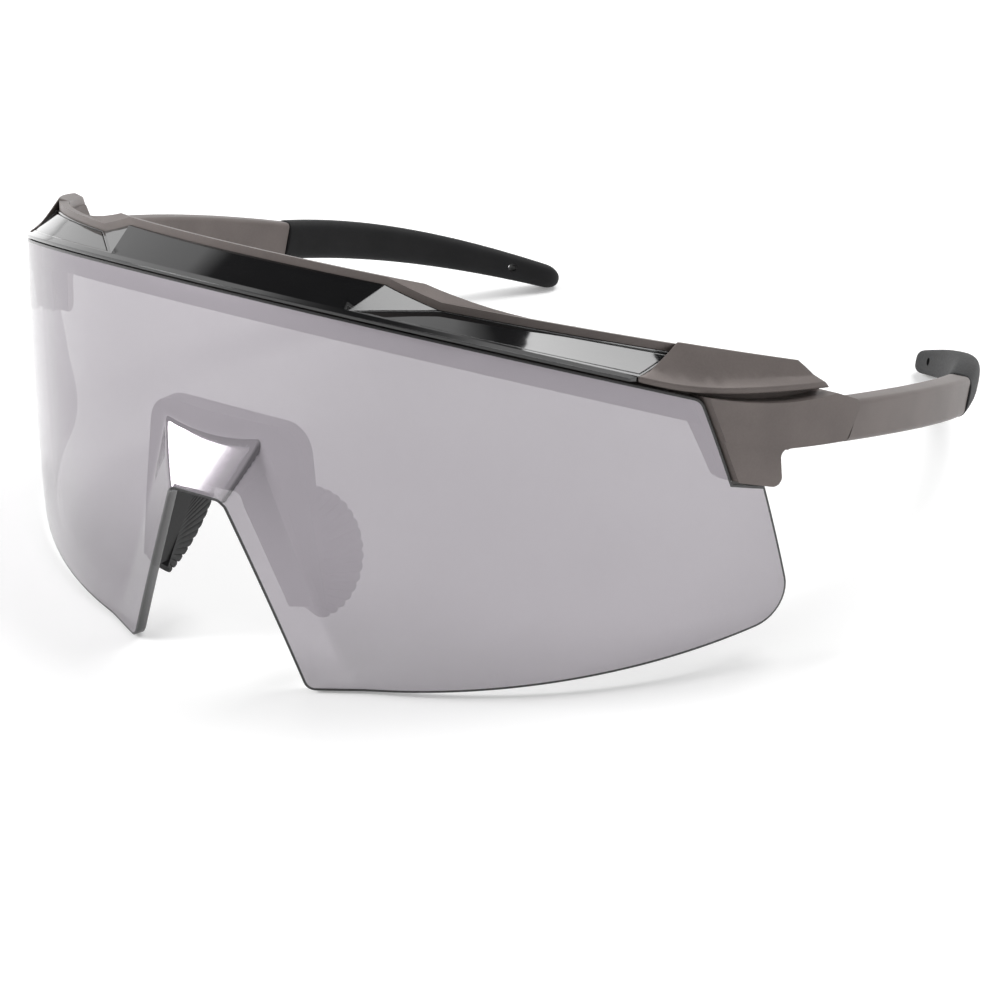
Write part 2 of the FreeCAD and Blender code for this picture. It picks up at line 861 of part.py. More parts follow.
def scallop_body(middle):
    """One scallop of a pad's edge, faceted round."""
    turns = spread(0, 2 * math.pi, pad_scallop_sides + 1)
    ring = [middle + Vector(math.cos(turn), math.sin(turn), 0) * pad_scallop_radius for turn in turns[:-1]]
    return Part.Face(Part.makePolygon(ring + ring[:1])).extrude(Vector(0, 0, pad_wall))


def pad_piece(carrier):
    """Ribbed wing of the left nose pad, seated on the carrier."""
    top = Vector(pad_top_half, pad_back, pad_top_height)
    foot = Vector(pad_foot_half, pad_back, pad_foot_height)
    along = (foot - top).normalize()
    length = foot.distanceToPoint(top)
    splay = math.radians(pad_splay)
    out = Vector(math.sin(splay), math.cos(splay), 0)
    out = (out - along * out.dot(along)).normalize()
    face_side = along.cross(out)

    arc = Part.Arc(Vector(0, 0, 0), Vector(length / 2, pad_width, 0), Vector(length, 0, 0))
    outline = Part.Wire([arc.toShape(), Part.makeLine(Vector(length, 0, 0), Vector(0, 0, 0))])
    pad = Part.Face(outline).extrude(Vector(0, 0, pad_wall))
    scallops = []
    ribs = []
    hub = Vector(length / 2, pad_hub, 0)
    marks = arc.discretize(2 * pad_scallops + 1)
    for index in range(pad_scallops):
        scallops.append(scallop_body(marks[2 * index + 1]))
    for index in range(1, pad_scallops):
        mark = marks[2 * index]
        reach = hub.distanceToPoint(mark) + overrun
        rib = Part.makeBox(reach, pad_rib_width, pad_rib_depth, Vector(pad_hub, -pad_rib_width / 2, 0))
        rib.rotate(origin, z_axis, math.degrees(math.atan2(mark.y - hub.y, mark.x - hub.x)))
        rib.translate(hub)
        ribs.append(rib)
    spine = Part.makeBox(length - 2 * pad_stem, 2 * pad_stem, pad_stem,
                         Vector(pad_stem, -pad_stem, (pad_wall - pad_stem) / 2))
    pad = pad.fuse(scallops + [spine]).cut(Part.makeCompound(ribs))
    pad.translate(Vector(0, 0, -pad_wall / 2))
    turn = FreeCAD.Rotation(along, out, face_side, "XYZ")
    pad.Placement = FreeCAD.Placement(top, turn)
    return pad.cut(carrier).common(behind_lens(carrier_gap))


# Stance: the glasses rest on the foot of the lens and on the temple tips

def lowest(points, turn):
    """Lowest height of some points after a turn about the x axis."""
    return min(point.y * math.sin(turn) + point.z * math.cos(turn) for point in points)


def stance_turn(front, back):
    """Turn about the x axis, in degrees, that brings two bodies to rest on one level."""
    front_points = front.tessellate(stance_step)[0]
    back_points = back.tessellate(stance_step)[0]
    steepest = -math.radians(stance_limit)
    flattest = 0
    for _ in range(stance_rounds):
        turn = (steepest + flattest) / 2
        if lowest(front_points, turn) < lowest(back_points, turn):
            flattest = turn
        else:
            steepest = turn
    return math.degrees(turn)


def set_down(pieces, turn):
    """Turns the pieces to their stance and centres them on the ground."""
    points = []
    for piece in pieces.values():
        piece.rotate(origin, x_axis, turn)
        points.extend(piece.tessellate(stance_step)[0])
    back = [point.y for point in points]
    drop = min(point.z for point in points)
    for piece in pieces.values():
        piece.translate(Vector(0, -(min(back) + max(back)) / 2, -drop))


# Assembly

envelope = bar_envelope()
skin = envelope.cut(lowered(envelope, trim_wall))
trim = skin.cut(strip_room(trim_gap))
cover_block = cover_front_block(-cover_gap)
pocket = panel_body(0, 0, overrun)
for room in (cover_block, pocket):
    trim = trim.cut(room).cut(mirrored(room))

cover_room = cover_body(cover_room_section)
end = hinged_end(end_piece().cut(cover_room))
strip = lowered(envelope, -strip_rise).common(strip_room(0))
bar = to_brow(envelope.cut(skin.cut(strip_room(0))).fuse(strip))
bar = bar.cut(cover_room).cut(mirrored(cover_room))
carrier = carrier_piece()

nodes = {
    "frame_front": bar.fuse([end, mirrored(end)]),
    "brow_trim": to_brow(trim),
    "lens": lens_piece(),
    "nose_bridge": to_brow(carrier),
}
left_pieces = {
    "brow_panel": to_brow(panel_body(panel_gap, panel_recess, 0)),
    "end_cover": cover_body(cover_section),
    "nose_pad": to_brow(pad_piece(carrier)),
    "temple_arm": arm_piece(),
    "temple_tip": tip_piece(),
    "hinge_screw": screw_piece(),
}
for name, piece in left_pieces.items():
    nodes[name + "_left"] = piece
    nodes[name + "_right"] = mirrored(piece)

set_down(nodes, stance_turn(nodes["lens"], nodes["temple_tip_left"]))
os.makedirs("parts", exist_ok=True)
for name, piece in nodes.items():
    piece.exportStep("parts/" + name + ".step")
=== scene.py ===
import json
import math

import bmesh
import bpy
import numpy as np
from bpy.props import FloatProperty, FloatVectorProperty, IntProperty, PointerProperty
from mathutils import Matrix, Vector
from mathutils.geometry import delaunay_2d_cdt


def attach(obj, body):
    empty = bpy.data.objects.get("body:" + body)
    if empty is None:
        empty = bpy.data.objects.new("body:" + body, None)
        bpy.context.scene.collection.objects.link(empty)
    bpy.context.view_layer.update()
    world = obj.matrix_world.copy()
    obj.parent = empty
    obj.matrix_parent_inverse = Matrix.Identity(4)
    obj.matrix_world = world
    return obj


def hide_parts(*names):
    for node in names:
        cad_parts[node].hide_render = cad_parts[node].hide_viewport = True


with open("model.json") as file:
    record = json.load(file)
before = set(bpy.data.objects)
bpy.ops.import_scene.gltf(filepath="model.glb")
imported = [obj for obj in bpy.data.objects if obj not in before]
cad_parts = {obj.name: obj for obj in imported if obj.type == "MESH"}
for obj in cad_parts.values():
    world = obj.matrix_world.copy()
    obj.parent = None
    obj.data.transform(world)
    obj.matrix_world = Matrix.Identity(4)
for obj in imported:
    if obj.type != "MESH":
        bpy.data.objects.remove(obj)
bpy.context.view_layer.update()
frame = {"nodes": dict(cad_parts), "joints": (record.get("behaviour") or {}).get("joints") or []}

bl_info = {
    "name": "Shield sunglasses",
    "version": (1, 0, 0),
    "blender": (4, 5, 0),
    "location": "View3D > Sidebar > Sunglasses",
    "description": "Lens, rubber parts, finishes and studio of a pair of shield sunglasses",
    "category": "Object",
}

mm = 0.001

# The brow frame has x to the wearer's left, y to the back and z up, with the brow level and its
# origin at the middle of the lens's top edge. The hinge ties it to the part.
left_fold = next(joint for joint in frame["joints"] if joint["name"] == "left_temple_fold")
hinge_axis = Vector(left_fold["axis"])
hinge_back = 60.6 * mm
hinge_drop = 5.9 * mm
hinge_foot = Vector((left_fold["pos_m"][0], hinge_back, -hinge_drop))
stance = -math.atan2(hinge_axis.y, hinge_axis.z)
brow_to_part = (Matrix.Translation(left_fold["pos_m"]) @ Matrix.Rotation(stance, 4, "X")
                @ Matrix.Translation(-hinge_foot))


def linear(code):
    """Linear colour of an sRGB hex code."""
    parts = [int(code[place:place + 2], 16) / 255 for place in (0, 2, 4)]
    return [part / 12.92 if part <= 0.04045 else ((part + 0.055) / 1.055) ** 2.4 for part in parts]


def length(name, description, millimetres):
    """Length property with its default in millimetres."""
    return FloatProperty(name=name, description=description, default=millimetres * mm, unit="LENGTH",
                         precision=5)


def share(name, description, default):
    """Property for a ratio."""
    return FloatProperty(name=name, description=description, default=default, precision=4)


def angle(name, description, degrees):
    """Angle property with its default in degrees."""
    return FloatProperty(name=name, description=description, default=math.radians(degrees), subtype="ANGLE")


def colour(name, description, code):
    """Colour property with its default as an sRGB hex code."""
    return FloatVectorProperty(name=name, description=description, default=linear(code), subtype="COLOR",
                               size=3, min=0, max=1)


class LensSizes(bpy.types.PropertyGroup):
    """Sizes of the shield and of the ridge moulded round its nose notch"""
    plan_radius: length("Plan radius", "Radius of the shield seen from above", 74.6)
    upright_radius: length("Upright radius", "Radius of the shield seen from the side", 520)
    fullest_height: length("Fullest height", "Height at which the shield stands furthest out", 48)
    height: length("Height", "Height of the top edge at the middle", 57.8)
    wall: length("Wall", "Thickness of the shield", 2)
    lean: angle("Lean", "Lean of the shield against the brow", 16.4)
    top_fall: share("Top fall", "Fall of the top edge for each length to the back", 0.073)
    shoulder_back: length("Shoulder", "Where the top edge turns down", 35.3)
    step_back: length("Step", "Where the side edge meets the tab", 44)
    step_drop: length("Step drop", "How far the step lies below the brow", 14.3)
    side_back: length("Side", "Where the side edge leaves the tab", 49.2)
    side_drop: length("Side drop", "How far the side edge starts below the brow", 14.05)
    corner_back: length("Corner", "Where the side meets the bottom edge", 62.2)
    bottom_back: length("Bottom", "A place on the bottom edge", 16.7)
    bottom_drop: length("Bottom drop", "How far that place lies below the brow", 57.4)
    bottom_rise: share("Bottom rise", "Rise of the bottom edge for each length to the back", 0.55)
    shoulder_round: length("Shoulder round", "Radius of the shoulder", 2.4)
    corner_round: length("Corner round", "Radius of the lower corner", 5.5)
    foot_round: length("Foot round", "Radius at the foot of the notch", 1.8)
    notch_top: length("Notch top", "Height of the notch", 27.3)
    notch_half: length("Notch half", "Half width of the notch at its top", 4.7)
    notch_flare: share("Notch flare", "Widening of the notch for each length down", 0.4007)
    notch_round: length("Notch round", "Radius of the upper notch corners", 1.6)
    ridge_front: length("Ridge front", "How far the ridge stands out at the notch top", 3.56)
    ridge_fall: share("Ridge fall", "How the ridge falls back for each length down", 0.2007)
    ridge_reach: length("Ridge reach", "How far from the notch the ridge may reach", 13)
    ridge_top: length("Ridge top", "Height at which the ridge leaves the shield", 35.2)
    flank_slope: share("Flank slope", "Slope of the flank at the notch top", 0.724)
    flank_twist: FloatProperty(name="Flank twist", description="Change of that slope for each metre down",
                               default=6.74)
    crease: length("Crease", "Softness of the moulded creases", 0.3)
    rim: length("Rim", "Width of the bare rim along the cut edge", 0.38)
    rim_fall: length("Rim fall", "How far the rim falls back on the outer face", 0.05)
    grain: length("Grain", "Spacing of the mesh points", 1.6)
    fine_grain: length("Fine grain", "Spacing of the mesh points on the ridge", 0.4)


class PadSizes(bpy.types.PropertyGroup):
    """Sizes of the ribbed rubber nose wings"""
    top: FloatVectorProperty(name="Top", description="Upper end of the wing's root in the lens frame",
                             default=(8.4 * mm, 7.2 * mm, 26.5 * mm), subtype="TRANSLATION", precision=5)
    foot: FloatVectorProperty(name="Foot", description="Lower end of the wing's root in the lens frame",
                              default=(14.6 * mm, 7.2 * mm, 8.6 * mm), subtype="TRANSLATION", precision=5)
    splay: angle("Splay", "How far the wing opens outward", 14)
    width: length("Width", "Reach of the wing", 10.6)
    wall: length("Wall", "Thickness of the wing", 2)
    root: length("Root", "Depth of the root inside the carrier", 1.6)
    scallop: length("Scallop", "How far each scallop stands out", 0.35)
    rib_depth: length("Rib depth", "Depth of the grooves", 0.22)
    scallops: IntProperty(name="Scallops", description="Number of scallops round the edge", default=19,
                          min=1)


class SleeveSizes(bpy.types.PropertyGroup):
    """Sizes of the rubber sleeves on the temples"""
    plan_radius: length("Plan radius", "Radius of the temple seen from above", 123)
    start_half: length("Start half", "Half width at the hinge seam", 73.3246)
    start_back: length("Start", "Distance of the hinge seam to the back", 61.4)
    start_lean: angle("Start lean", "Lean of the temple at the seam", 6)
    seat: length("Seat", "Inset of the middle line from the outer face", 2)
    joint_back: length("Joint", "Where the sleeve starts", 110.1)
    arm_back: length("Arm end", "Where the arm ends", 110)
    end_back: length("End", "Where the sleeve ends", 159.8)
    wall: length("Wall", "Thickness of the sleeve", 4.7)
    height: length("Height", "Height of the sleeve at its start", 6.9)
    end_height: length("End height", "Height of the sleeve at its end", 4)
    start_level: length("Start level", "Level of its top at its start", 3.6)
    fall: length("Fall", "Fall of its top to its end", 0.9)
    bow: length("Bow", "Bow of its top line", 2.25)
    nose: length("Nose", "Length of its rounded end", 2.1)
    hole_radius: length("Hole", "Radius of the cord hole", 0.7)
    hole_inset: length("Hole inset", "Distance of the cord hole from the end", 7.5)


class Finishes(bpy.types.PropertyGroup):
    """Colours of the finishes"""
    paint: colour("Matte paint", "Gunmetal paint of the mouldings", "69615e")
    gloss: colour("Gloss black", "Polished black of the brow trim", "101011")
    mirror: colour("Mirror coat", "Silver of the lens's mirror coat", "9c979d")
    smoke: colour("Smoke", "Grey of the clear lens body", "26262a")
    cut_edge: colour("Cut edge", "Near black of the lens's cut edge", "0b0b0d")
    carrier: colour("Carrier", "Black of the nose carrier", "0d0d0e")
    rubber: colour("Rubber", "Black of the rubber parts", "1a1a1b")
    steel: colour("Steel", "Grey of the hinge screws", "8f8f92")
    floor: colour("Floor", "Pale sweep under the glasses", "f4f4f4")


# Materials

def add_node(tree, kind, settings, links):
    """Adds a node, sets its properties, sockets and ramp stops, and links its inputs."""
    node = tree.nodes.new(kind)
    for key, value in settings.items():
        if key == "stops":
            for stop, (position, shade) in zip(node.color_ramp.elements, value):
                stop.position = position
                stop.color = (*shade, 1)
        elif isinstance(key, int) or key in node.inputs:
            node.inputs[key].default_value = value
        else:
            setattr(node, key, value)
    for key, source in links.items():
        tree.links.new(source, node.inputs[key])
    return node


def bare_material(name):
    """New material with its node tree and the object coordinates that its patterns follow."""
    material = bpy.data.materials.new(name)
    material.use_nodes = True
    tree = material.node_tree
    tree.nodes.clear()
    place = add_node(tree, "ShaderNodeTexCoord", {}, {}).outputs["Object"]
    return material, tree, place


def shades(base, dark, light):
    """Ramp stops from a darker to a lighter shade of a colour, across most of a noise's values."""
    return [(0.3, Vector(base) * dark), (0.7, Vector(base) * light)]


def paint_material(finishes):
    """Soft-feel metallic paint on moulded nylon: a satin sheen with fine flake and a faint spray mottle."""
    material, tree, place = bare_material("gunmetal_soft_paint_on_nylon")
    flake_size = 0.35 * mm      # real flake is finer, and this is as fine as shows
    mottle_size = 9 * mm
    flake = add_node(tree, "ShaderNodeTexNoise", {"Scale": 1 / flake_size, "Detail": 2.0},
                     {"Vector": place})
    mottle = add_node(tree, "ShaderNodeTexNoise", {"Scale": 1 / mottle_size, "Detail": 3.0},
                      {"Vector": place})
    spray = add_node(tree, "ShaderNodeValToRGB", {"stops": shades(finishes.paint, 0.9, 1.1)},
                     {"Fac": mottle.outputs["Fac"]})
    glint = add_node(tree, "ShaderNodeValToRGB", {"stops": [(0.35, (0.93, 0.93, 0.93)), (0.65, (1, 1, 1))]},
                     {"Fac": flake.outputs["Fac"]})
    tint = add_node(tree, "ShaderNodeMix", {"data_type": "RGBA", "blend_type": "MULTIPLY", "Factor": 1.0},
                    {6: spray.outputs["Color"], 7: glint.outputs["Color"]})
    rough = add_node(tree, "ShaderNodeMapRange", {"To Min": 0.4, "To Max": 0.52},
                     {"Value": flake.outputs["Fac"]})
    bump = add_node(tree, "ShaderNodeBump", {"Strength": 0.12, "Distance": 0.02 * mm},
                    {"Height": flake.outputs["Fac"]})
    shader = add_node(tree, "ShaderNodeBsdfPrincipled", {"Metallic": 0.35, "IOR": 1.5},
                      {"Base Color": tint.outputs[2], "Roughness": rough.outputs["Result"],
                       "Normal": bump.outputs["Normal"]})
    add_node(tree, "ShaderNodeOutputMaterial", {}, {"Surface": shader.outputs["BSDF"]})
    return material


def gloss_material(finishes):
    """Black ABS under a clear lacquer: sharp, deep reflections, soft edges and a faint handling haze."""
    material, tree, place = bare_material("lacquered_black_abs")
    haze_size = 6 * mm
    edge_round = 0.2 * mm
    haze = add_node(tree, "ShaderNodeTexNoise", {"Scale": 1 / haze_size, "Detail": 4.0},
                    {"Vector": place})
    tint = add_node(tree, "ShaderNodeValToRGB", {"stops": shades(finishes.gloss, 0.85, 1.15)},
                    {"Fac": haze.outputs["Fac"]})
    rough = add_node(tree, "ShaderNodeMapRange", {"To Min": 0.03, "To Max": 0.09},
                     {"Value": haze.outputs["Fac"]})
    brink = add_node(tree, "ShaderNodeBevel", {"Radius": edge_round}, {})
    shader = add_node(tree, "ShaderNodeBsdfPrincipled",
                      {"IOR": 1.54, "Coat Weight": 0.3, "Coat Roughness": 0.03},
                      {"Base Color": tint.outputs["Color"], "Roughness": rough.outputs["Result"],
                       "Normal": brink.outputs["Normal"], "Coat Normal": brink.outputs["Normal"]})
    add_node(tree, "ShaderNodeOutputMaterial", {}, {"Surface": shader.outputs["BSDF"]})
    return material


def mirror_material(finishes):
    """Vacuum-deposited silver mirror on the outer face: reflects most light and lets the rest through."""
    material, tree, place = bare_material("flash_mirror_coat")
    veil_size = 40 * mm
    veil = add_node(tree, "ShaderNodeTexNoise", {"Scale": 1 / veil_size, "Detail": 2.0},
                    {"Vector": place})
    tint = add_node(tree, "ShaderNodeValToRGB", {"stops": shades(finishes.mirror, 0.97, 1.03)},
                    {"Fac": veil.outputs["Fac"]})
    rough = add_node(tree, "ShaderNodeMapRange", {"To Min": 0.03, "To Max": 0.06},
                     {"Value": veil.outputs["Fac"]})
    shader = add_node(tree, "ShaderNodeBsdfPrincipled", {"Metallic": 1.0, "Alpha": 0.76},
                      {"Base Color": tint.outputs["Color"], "Roughness": rough.outputs["Result"]})
    add_node(tree, "ShaderNodeOutputMaterial", {}, {"Surface": shader.outputs["BSDF"]})
    return material


def smoke_material(finishes):
    """Smoke-tinted injection-moulded polycarbonate: the clear grey body behind the mirror."""
    material, tree, place = bare_material("smoke_polycarbonate")
    flow_size = 30 * mm
    flow = add_node(tree, "ShaderNodeTexNoise", {"Scale": 1 / flow_size, "Detail": 2.0},
                    {"Vector": place})
    tint = add_node(tree, "ShaderNodeValToRGB", {"stops": shades(finishes.smoke, 0.92, 1.08)},
                    {"Fac": flow.outputs["Fac"]})
    shader = add_node(tree, "ShaderNodeBsdfPrincipled", {"Roughness": 0.06, "IOR": 1.58, "Alpha": 0.5},
                      {"Base Color": tint.outputs["Color"]})
    add_node(tree, "ShaderNodeOutputMaterial", {}, {"Surface": shader.outputs["BSDF"]})
    return material


def cut_edge_material(finishes):
    """Cut edge of the smoke polycarbonate: a dark line from outside, and clear smoke through the sheet."""
    material, tree, place = bare_material("smoke_polycarbonate_cut_edge")
    mill_size = 0.3 * mm
    mill = add_node(tree, "ShaderNodeTexNoise", {"Scale": 1 / mill_size, "Detail": 2.0},
                    {"Vector": place})
    tint = add_node(tree, "ShaderNodeValToRGB", {"stops": shades(finishes.cut_edge, 0.85, 1.15)},
                    {"Fac": mill.outputs["Fac"]})
    rough = add_node(tree, "ShaderNodeMapRange", {"To Min": 0.16, "To Max": 0.28},
                     {"Value": mill.outputs["Fac"]})
    side = add_node(tree, "ShaderNodeNewGeometry", {}, {})
    cover = add_node(tree, "ShaderNodeMapRange", {"To Min": 0.96, "To Max": 0.5},
                     {"Value": side.outputs["Backfacing"]})
    shader = add_node(tree, "ShaderNodeBsdfPrincipled", {"IOR": 1.58},
                      {"Base Color": tint.outputs["Color"], "Roughness": rough.outputs["Result"],
                       "Alpha": cover.outputs["Result"]})
    add_node(tree, "ShaderNodeOutputMaterial", {}, {"Surface": shader.outputs["BSDF"]})
    return material


def carrier_material(finishes):
    """Black nylon with a fine spark-eroded mould grain: dark and satin."""
    material, tree, place = bare_material("black_grained_nylon")
    grain_size = 0.4 * mm
    grain = add_node(tree, "ShaderNodeTexNoise", {"Scale": 1 / grain_size, "Detail": 3.0},
                     {"Vector": place})
    tint = add_node(tree, "ShaderNodeValToRGB", {"stops": shades(finishes.carrier, 0.85, 1.15)},
                    {"Fac": grain.outputs["Fac"]})
    rough = add_node(tree, "ShaderNodeMapRange", {"To Min": 0.42, "To Max": 0.56},
                     {"Value": grain.outputs["Fac"]})
    bump = add_node(tree, "ShaderNodeBump", {"Strength": 0.2, "Distance": 0.03 * mm},
                    {"Height": grain.outputs["Fac"]})
    shader = add_node(tree, "ShaderNodeBsdfPrincipled", {"IOR": 1.53, "Specular IOR Level": 0.2},
                      {"Base Color": tint.outputs["Color"], "Roughness": rough.outputs["Result"],
                       "Normal": bump.outputs["Normal"]})
    add_node(tree, "ShaderNodeOutputMaterial", {}, {"Surface": shader.outputs["BSDF"]})
    return material


def rubber_material(finishes):
    """Moulded thermoplastic rubber: dull black with a soft bloom and a fine mould grain."""
    material, tree, place = bare_material("moulded_black_rubber")
    grain_size = 0.5 * mm
    bloom_size = 7 * mm
    grain = add_node(tree, "ShaderNodeTexNoise", {"Scale": 1 / grain_size, "Detail": 3.0},
                     {"Vector": place})
    bloom = add_node(tree, "ShaderNodeTexNoise", {"Scale": 1 / bloom_size, "Detail": 3.0},
                     {"Vector": place})
    tint = add_node(tree, "ShaderNodeValToRGB", {"stops": shades(finishes.rubber, 0.85, 1.2)},
                    {"Fac": bloom.outputs["Fac"]})
    rough = add_node(tree, "ShaderNodeMapRange", {"To Min": 0.5, "To Max": 0.68},
                     {"Value": grain.outputs["Fac"]})
    bump = add_node(tree, "ShaderNodeBump", {"Strength": 0.25, "Distance": 0.04 * mm},
                    {"Height": grain.outputs["Fac"]})
    shader = add_node(tree, "ShaderNodeBsdfPrincipled", {"IOR": 1.5, "Specular IOR Level": 0.18},
                      {"Base Color": tint.outputs["Color"], "Roughness": rough.outputs["Result"],
                       "Normal": bump.outputs["Normal"]})
    add_node(tree, "ShaderNodeOutputMaterial", {}, {"Surface": shader.outputs["BSDF"]})
    return material


def steel_material(finishes):
    """Turned stainless steel: bright, with a fine uneven polish."""
    material, tree, place = bare_material("turned_stainless_steel")
    mark_size = 0.15 * mm
    marks = add_node(tree, "ShaderNodeTexNoise", {"Scale": 1 / mark_size, "Detail": 2.0},
                     {"Vector": place})
    tint = add_node(tree, "ShaderNodeValToRGB", {"stops": shades(finishes.steel, 0.9, 1.1)},
                    {"Fac": marks.outputs["Fac"]})
    rough = add_node(tree, "ShaderNodeMapRange", {"To Min": 0.22, "To Max": 0.36},
                     {"Value": marks.outputs["Fac"]})
    shader = add_node(tree, "ShaderNodeBsdfPrincipled", {"Metallic": 1.0},
                      {"Base Color": tint.outputs["Color"], "Roughness": rough.outputs["Result"]})
    add_node(tree, "ShaderNodeOutputMaterial", {}, {"Surface": shader.outputs["BSDF"]})
    return material


def paper_material(finishes):
    """White paper sweep: matt with a faint fibre, and lifted to white where the eye or a gloss sees it."""
    material, tree, place = bare_material("white_paper_sweep")
    fibre_size = 2 * mm
    fibre = add_node(tree, "ShaderNodeTexNoise", {"Scale": 1 / fibre_size, "Detail": 2.0},
                     {"Vector": place})
    tint = add_node(tree, "ShaderNodeValToRGB", {"stops": shades(finishes.floor, 0.995, 1)},
                    {"Fac": fibre.outputs["Fac"]})
    path = add_node(tree, "ShaderNodeLightPath", {}, {})
    seen = add_node(tree, "ShaderNodeMath", {"operation": "ADD"},
                    {0: path.outputs["Is Camera Ray"], 1: path.outputs["Is Glossy Ray"]})
    shown = add_node(tree, "ShaderNodeMath", {"operation": "ADD", "use_clamp": True},
                     {0: seen.outputs["Value"], 1: path.outputs["Is Transmission Ray"]})
    glow = add_node(tree, "ShaderNodeMapRange", {"To Max": 0.2}, {"Value": shown.outputs["Value"]})
    shader = add_node(tree, "ShaderNodeBsdfPrincipled",
                      {"Roughness": 0.9, "Specular IOR Level": 0.1, "Emission Color": (1, 1, 1, 1)},
                      {"Base Color": tint.outputs["Color"], "Emission Strength": glow.outputs["Result"]})
    add_node(tree, "ShaderNodeOutputMaterial", {}, {"Surface": shader.outputs["BSDF"]})
    return material


# Meshes

def new_piece(name, vertices, faces, materials):
    """Smooth-shaded mesh object with its materials, welded where points meet."""
    mesh = bpy.data.meshes.new(name)
    mesh.from_pydata([tuple(vertex) for vertex in vertices], [], faces)
    form = bmesh.new()
    form.from_mesh(mesh)
    bmesh.ops.remove_doubles(form, verts=form.verts, dist=0.001 * mm)
    form.to_mesh(mesh)
    form.free()
    mesh.polygons.foreach_set("use_smooth", [True] * len(mesh.polygons))
    for material in materials:
        mesh.materials.append(material)
    mesh.validate()
    mesh.update()
    piece = bpy.data.objects.new(name, mesh)
    bpy.context.scene.collection.objects.link(piece)
    return piece


def dress(node, material):
    """Gives a CAD piece its finish."""
    piece = frame["nodes"][node]
    piece.data.materials.clear()
    piece.data.materials.append(material)


def soften(node, width):
    """Rounds the edges of a CAD piece a little, as a mould leaves them."""
    piece = frame["nodes"][node]
    weld = piece.modifiers.new("joined_corners", "WELD")
    weld.merge_threshold = 0.002 * mm
    bevel = piece.modifiers.new("soft_edges", "BEVEL")
    bevel.width = width
    bevel.segments = 2
    bevel.limit_method = "ANGLE"
    bevel.angle_limit = math.radians(32)
    even = piece.modifiers.new("even_shading", "WEIGHTED_NORMAL")
    even.weight = 80


def eased_path(points, radii, steps):
    """Open path through points, with an arc at each inner corner."""
    path = [Vector(points[0])]
    for before, corner, after, radius in zip(points, points[1:], points[2:], radii):
        corner = Vector(corner)
        back = (Vector(before) - corner).normalized()
        ahead = (Vector(after) - corner).normalized()
        half = back.angle(ahead) / 2
        if radius == 0:
            path.append(corner)
            continue
        start = corner + back * (radius / math.tan(half))
        end = corner + ahead * (radius / math.tan(half))
        middle = corner + (back + ahead).normalized() * (radius / math.sin(half))
        first = start - middle
        last = end - middle
        turn = first.angle(last)
        for index in range(steps + 1):
            part = index / steps
            path.append(middle + (first * math.sin((1 - part) * turn) + last * math.sin(part * turn))
                        / math.sin(turn))
    path.append(Vector(points[-1]))
    return path


def dense(path, spacing):
    """The same path with points no further apart than a spacing."""
    filled = [path[0]]
    for first, last in zip(path, path[1:]):
        count = max(1, math.ceil((last - first).length / spacing))
        for index in range(1, count + 1):
            filled.append(first.lerp(last, index / count))
    return filled


# Lens

def lens_to_brow(sizes):
    """Matrix from the lens frame, which leans with the shield, to the brow frame."""
    return Matrix.Rotation(sizes.lean, 4, "X") @ Matrix.Translation((0, 0, -sizes.height))


def shield_radius(sizes, height):
    """Radius of the shield's outer face at a height."""
    lift = height - sizes.fullest_height
    return sizes.plan_radius - sizes.upright_radius + math.sqrt(sizes.upright_radius ** 2 - lift ** 2)


def soft_max(first, second, softness):
    """The greater of two values, eased where they are close."""
    blend = max(softness - abs(first - second), 0) / softness
    return max(first, second) + blend * blend * softness / 4


def shield_point(sizes, turn, height, inset):
    """Point of the shield at an angle and a height, an inset behind its outer face."""
    radius = shield_radius(sizes, height) - inset
    across = radius * math.sin(turn)
    shell = sizes.plan_radius - radius * math.cos(turn)
    below = sizes.notch_top - height
    edge_half = sizes.notch_half + sizes.notch_flare * below
    edge_depth = -sizes.ridge_front + sizes.ridge_fall * below
    slope = sizes.flank_slope - sizes.flank_twist * below
    flank = edge_depth + slope * (abs(across) - edge_half) + inset * math.hypot(1, slope)
    bevel = sizes.ridge_front / (sizes.ridge_top - sizes.notch_top)
    top = -bevel * (sizes.ridge_top - height) + inset * math.hypot(1, bevel)
    if abs(across) > edge_half + sizes.ridge_reach:
        return Vector((across, shell, height))
    ridge = soft_max(flank, top, sizes.crease)
    return Vector((across, -soft_max(-shell, -ridge, sizes.crease), height))


